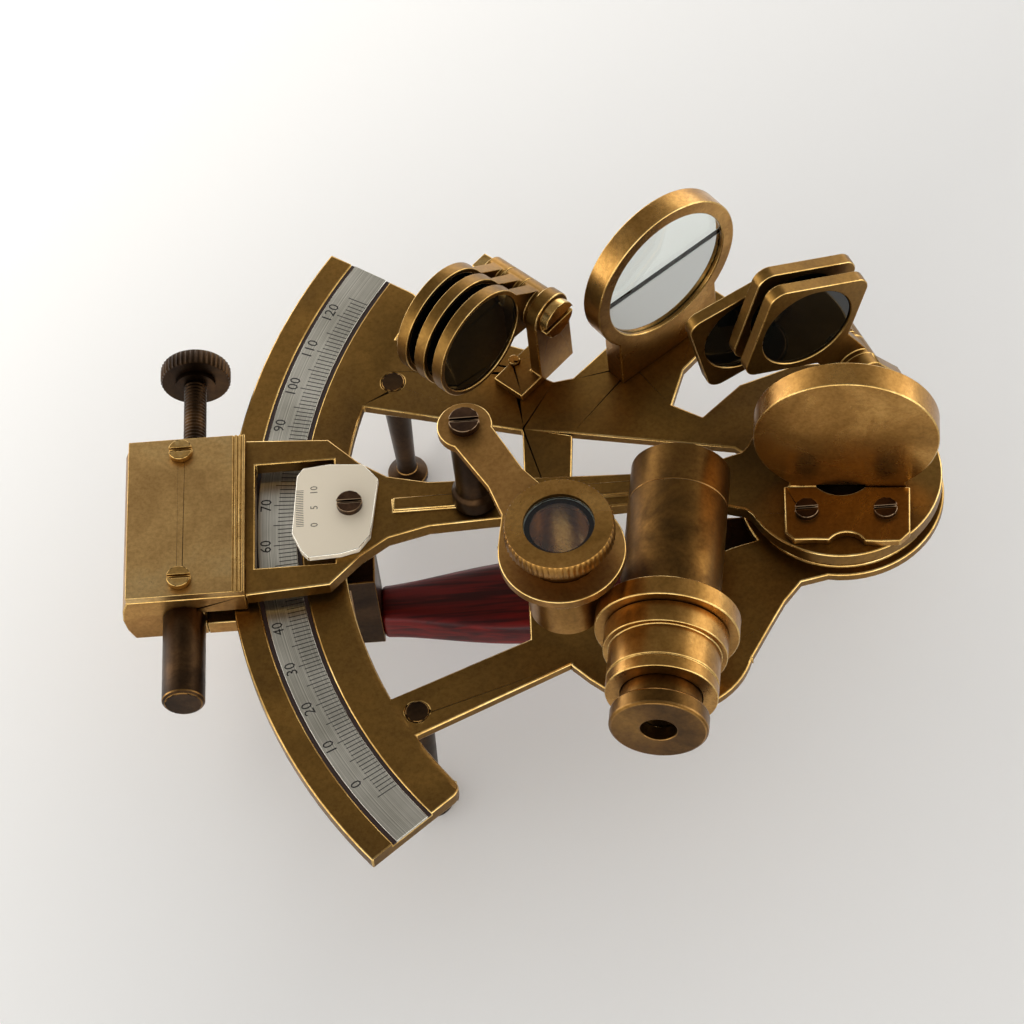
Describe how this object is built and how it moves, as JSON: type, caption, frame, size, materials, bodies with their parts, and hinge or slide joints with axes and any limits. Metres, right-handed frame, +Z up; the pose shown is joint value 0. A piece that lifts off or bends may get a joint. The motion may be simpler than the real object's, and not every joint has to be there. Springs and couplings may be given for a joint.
{
  "type": "nautical sextant",
  "caption": "Pocket-size brass sextant with index arm, vernier and magnifier over a graduated limb, two mirrors, telescope, hinged shades, legs and wooden grip.",
  "frame": {"origin": "centre of the overall box at rest, on the plane that the three feet stand on", "axes": "+Z up from the feet; the index arm points along -X at rest; the telescope looks roughly along +Y, away from the eye end"},
  "size_m": [0.1398, 0.1262, 0.0664],
  "materials": {
    "antique_brass": "aged cast and machined brass with brown patina, bright on worn edges",
    "polished_brass": "brushed brass, lightly tarnished",
    "dark_brass": "chemically darkened brass",
    "dark_steel": "browned screws and spring",
    "nickel_silver": "brushed nickel silver, engraved",
    "silvered_glass": "silvered glass",
    "clear_glass": "polished glass",
    "shade_glass": "near-black tinted glass",
    "rosewood": "dark red-brown stained and varnished hardwood"
  },
  "bodies": {
    "frame": {"frame_plate": "antique_brass", "scale_band": "nickel_silver", "leg_arc_high": "dark_brass", "leg_arc_low": "dark_brass", "leg_pivot": "dark_brass", "grip": "rosewood", "grip_bracket_limb": "dark_brass", "grip_bracket_pivot": "dark_brass", "grip_screws": "dark_steel", "telescope_ring": "antique_brass", "telescope_ring_screw": "dark_steel", "telescope_tube": "dark_brass", "objective_cell": "dark_brass", "objective_lens": "clear_glass", "eyepiece_body": "antique_brass", "horizon_ring": "antique_brass", "horizon_clear_glass": "clear_glass", "horizon_silvered_glass": "silvered_glass", "horizon_screws": "dark_steel", "horizon_shade_bracket": "antique_brass", "horizon_shade_screw": "polished_brass", "index_shade_bracket": "antique_brass", "index_shade_screw": "polished_brass"},
    "index_arm": {"index_arm": "antique_brass", "pivot_pin": "dark_brass", "pivot_nut": "dark_brass", "index_mirror_housing": "antique_brass", "index_mirror_glass": "silvered_glass", "index_mirror_screws": "dark_steel", "vernier_plate": "nickel_silver", "vernier_screw": "dark_steel", "box_body": "antique_brass", "box_cover": "polished_brass", "cover_screws": "polished_brass", "limb_shoe": "antique_brass", "plunger_barrel": "dark_brass", "plunger_spring": "dark_steel", "magnifier_post": "dark_brass", "magnifier_screw": "dark_steel"},
    "thrust_pad": {"thrust_pad": "dark_brass"},
    "tangent_screw": {"tangent_screw": "dark_brass"},
    "magnifier_arm": {"magnifier_arm": "antique_brass"},
    "magnifier_cell": {"magnifier_cell": "antique_brass", "magnifier_lens": "clear_glass"},
    "draw_tube": {"draw_tube": "dark_brass", "eye_lens": "clear_glass"},
    "horizon_shade_1": {"horizon_shade_1": "antique_brass", "horizon_shade_glass_1": "shade_glass"},
    "index_shade_1": {"index_shade_1": "antique_brass", "index_shade_glass_1": "shade_glass"},
    "horizon_shade_2": {"horizon_shade_2": "antique_brass", "horizon_shade_glass_2": "shade_glass"},
    "index_shade_2": {"index_shade_2": "antique_brass", "index_shade_glass_2": "shade_glass"},
    "horizon_shade_3": {"horizon_shade_3": "antique_brass", "horizon_shade_glass_3": "shade_glass"},
    "index_shade_3": {"index_shade_3": "antique_brass", "index_shade_glass_3": "shade_glass"}
  },
  "joints": [
    {"name": "index_arm_turn", "type": "hinge", "parent": "frame", "child": "index_arm", "pos_m": [0.05265, 0.00373, 0.029], "axis": [0, 0, 1], "range_deg": [-13, 0]},
    {"name": "tangent_screw_turn", "type": "hinge", "parent": "thrust_pad", "child": "tangent_screw", "pos_m": [-0.05815, 0.02373, 0.0284], "axis": [0, 1, 0], "range_deg": [-725.4, 725.4]},
    {"name": "thrust_pad_slide", "type": "slide", "parent": "index_arm", "child": "thrust_pad", "axis": [0, 1, 0], "range_m": [-0.0014, 0.0014]},
    {"name": "magnifier_swing", "type": "hinge", "parent": "index_arm", "child": "magnifier_arm", "pos_m": [-0.00935, 0.00373, 0.0539], "axis": [0, 0, -1], "range_deg": [0, 119]},
    {"name": "magnifier_focus", "type": "slide", "parent": "magnifier_arm", "child": "magnifier_cell", "axis": [0, 0, 1], "range_m": [-0.003, 0.0015]},
    {"name": "eyepiece_focus", "type": "slide", "parent": "frame", "child": "draw_tube", "axis": [-0.1271, -0.9919, 0], "range_m": [-0.003, 0.004]},
    {"name": "horizon_shade_1_swing", "type": "hinge", "parent": "frame", "child": "horizon_shade_1", "pos_m": [0.00225, 0.03753, 0.0433], "axis": [-0.7314, 0.682, 0], "range_deg": [0, 165]},
    {"name": "horizon_shade_2_swing", "type": "hinge", "parent": "frame", "child": "horizon_shade_2", "pos_m": [-0.00068, 0.04026, 0.0433], "axis": [-0.7314, 0.682, 0], "range_deg": [0, 165]},
    {"name": "horizon_shade_3_swing", "type": "hinge", "parent": "frame", "child": "horizon_shade_3", "pos_m": [-0.0036, 0.04299, 0.0433], "axis": [-0.7314, 0.682, 0], "range_deg": [0, 165]},
    {"name": "index_shade_1_swing", "type": "hinge", "parent": "frame", "child": "index_shade_1", "pos_m": [0.05615, 0.02323, 0.039], "axis": [-0.4067, 0.9135, 0], "range_deg": [-15, 105]},
    {"name": "index_shade_2_swing", "type": "hinge", "parent": "frame", "child": "index_shade_2", "pos_m": [0.0544, 0.02716, 0.039], "axis": [-0.4067, 0.9135, 0], "range_deg": [-15, 105]},
    {"name": "index_shade_3_swing", "type": "hinge", "parent": "frame", "child": "index_shade_3", "pos_m": [0.05265, 0.03109, 0.039], "axis": [-0.4067, 0.9135, 0], "range_deg": [0, 130]}
  ],
  "couplings": [
    {"joint": "tangent_screw_turn", "follows": "thrust_pad_slide", "rad_per_m": 8976}
  ]
}
